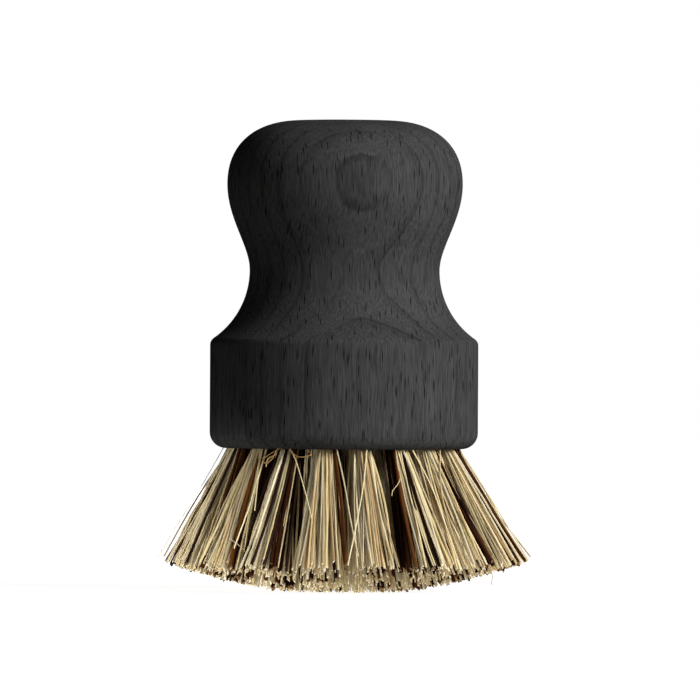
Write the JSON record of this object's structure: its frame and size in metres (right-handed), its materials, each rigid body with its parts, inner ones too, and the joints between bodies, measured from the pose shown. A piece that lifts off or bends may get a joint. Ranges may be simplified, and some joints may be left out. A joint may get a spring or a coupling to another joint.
{
  "type": "palm brush",
  "caption": "Hand-held palm brush: a turned, dark-stained beech knob for scrubbing, with flared tufts of stiff mixed plant fibre stapled into its round base.",
  "frame": {"origin": "on the turning axis of the handle, in the plane of the trimmed fibre tips that the brush stands on", "axes": "+Z is the turning axis, from the tips to the crown of the knob; -Y faces the viewer of the picture and +X is to the right"},
  "size_m": [0.0688, 0.0678, 0.0878],
  "materials": {
    "stained_beech": "satin",
    "union_fibre": "matte",
    "staple_wire": "satin"
  },
  "bodies": {
    "root": {"handle": "stained_beech", "tuft_centre": "union_fibre", "tuft_inner_01": "union_fibre", "tuft_inner_02": "union_fibre", "tuft_inner_03": "union_fibre", "tuft_inner_04": "union_fibre", "tuft_inner_05": "union_fibre", "tuft_inner_06": "union_fibre", "tuft_middle_01": "union_fibre", "tuft_middle_02": "union_fibre", "tuft_middle_03": "union_fibre", "tuft_middle_04": "union_fibre", "tuft_middle_05": "union_fibre", "tuft_middle_06": "union_fibre", "tuft_middle_07": "union_fibre", "tuft_middle_08": "union_fibre", "tuft_middle_09": "union_fibre", "tuft_middle_10": "union_fibre", "tuft_middle_11": "union_fibre", "tuft_middle_12": "union_fibre", "tuft_outer_01": "union_fibre", "tuft_outer_02": "union_fibre", "tuft_outer_03": "union_fibre", "tuft_outer_04": "union_fibre", "tuft_outer_05": "union_fibre", "tuft_outer_06": "union_fibre", "tuft_outer_07": "union_fibre", "tuft_outer_08": "union_fibre", "tuft_outer_09": "union_fibre", "tuft_outer_10": "union_fibre", "tuft_outer_11": "union_fibre", "tuft_outer_12": "union_fibre", "tuft_outer_13": "union_fibre", "tuft_outer_14": "union_fibre", "tuft_outer_15": "union_fibre", "tuft_outer_16": "union_fibre", "tuft_outer_17": "union_fibre", "tuft_outer_18": "union_fibre", "staples_centre": "staple_wire", "staples_inner": "staple_wire", "staples_middle": "staple_wire", "staples_outer": "staple_wire"}
  },
  "joints": []
}
